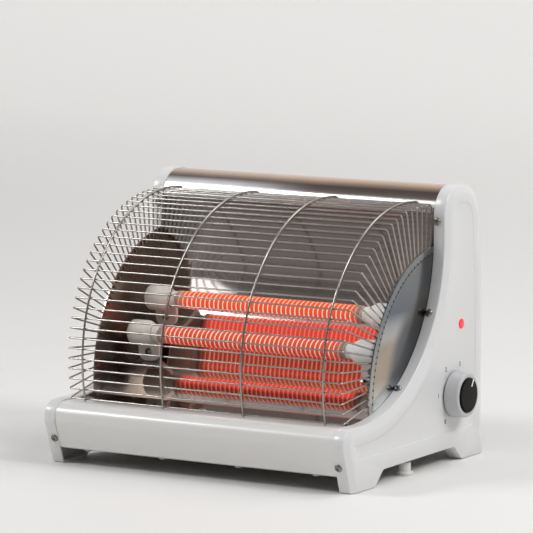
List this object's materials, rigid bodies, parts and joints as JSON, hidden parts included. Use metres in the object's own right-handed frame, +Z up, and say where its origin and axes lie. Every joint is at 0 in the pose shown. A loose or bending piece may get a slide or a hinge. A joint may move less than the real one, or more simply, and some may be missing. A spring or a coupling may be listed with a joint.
{
  "type": "ceramic bar heater",
  "caption": "Free-standing electric bar heater: wound ceramic rods before a polished reflector, behind a curved wire guard, with a rotary switch and a tip-over switch.",
  "frame": {"origin": "centre of the bounding box on the table, under the heater", "axes": "+X along the rods towards the knob's end, -Y out of the front, +Z up"},
  "size_m": [0.384, 0.2956, 0.2895],
  "materials": {
    "white_plastic": "white moulded plastic",
    "white_paint": "white enamelled sheet",
    "polished_steel": "polished stainless sheet",
    "reflector_sheet": "polished reflector sheet",
    "grey_paint": "grey enamelled sheet",
    "zinc_steel": "zinc plated",
    "wire_chrome": "bright plated wire",
    "rod_ceramic": "ceramic rod glowing orange",
    "heating_wire": "hot resistance wire",
    "holder_ceramic": "white glazed ceramic",
    "black_plastic": "black glossy plastic",
    "dark_plastic": "dark moulded plastic",
    "white_print": "white filled line",
    "brass": "plain brass",
    "red_lens": "red lens",
    "foot_plastic": "off-white plastic"
  },
  "bodies": {
    "heater": {"panel_left": "white_plastic", "panel_right": "white_plastic", "front_panel": "white_paint", "top_cover": "polished_steel", "rear_cover": "grey_paint", "base_plate": "zinc_steel", "side_plate_left": "polished_steel", "side_plate_right": "polished_steel", "reflector": "reflector_sheet", "guard_wires": "wire_chrome", "guard_arches": "wire_chrome", "rod_lower": "rod_ceramic", "rod_upper": "rod_ceramic", "winding_lower": "heating_wire", "winding_upper": "heating_wire", "holder_lower_left": "holder_ceramic", "holder_lower_right": "holder_ceramic", "holder_upper_left": "holder_ceramic", "holder_upper_right": "holder_ceramic", "terminals_lower": "brass", "terminals_upper": "brass", "bracket_left": "zinc_steel", "bracket_right": "zinc_steel", "rim_screws": "zinc_steel", "holder_screws": "zinc_steel", "ledge_screws": "zinc_steel", "cover_screws": "zinc_steel", "heel_screws": "zinc_steel", "front_screws": "zinc_steel", "bracket_screws": "zinc_steel", "switch_body": "dark_plastic", "switch_nut": "brass", "lamp_lens": "red_lens", "lamp_body": "dark_plastic", "tip_housing": "dark_plastic", "tip_spring": "zinc_steel", "cord_gland": "dark_plastic", "terminal_block": "holder_ceramic"},
    "knob": {"knob_body": "white_plastic", "knob_cap": "black_plastic", "knob_pointer": "white_print", "knob_shaft": "brass"},
    "plunger": {"tip_plunger": "foot_plastic"}
  },
  "joints": [
    {"name": "knob_turn", "type": "hinge", "parent": "heater", "child": "knob", "pos_m": [0.17495, 0.07784, 0.072], "axis": [1, 0, 0], "range_deg": [0, 170]},
    {"name": "plunger_slide", "type": "slide", "parent": "heater", "child": "plunger", "axis": [0, 0, 1], "range_m": [-0.006, 0.001], "stiffness_N_per_m": 300, "springref_m": -0.006, "deforming": ["tip_spring"]}
  ]
}
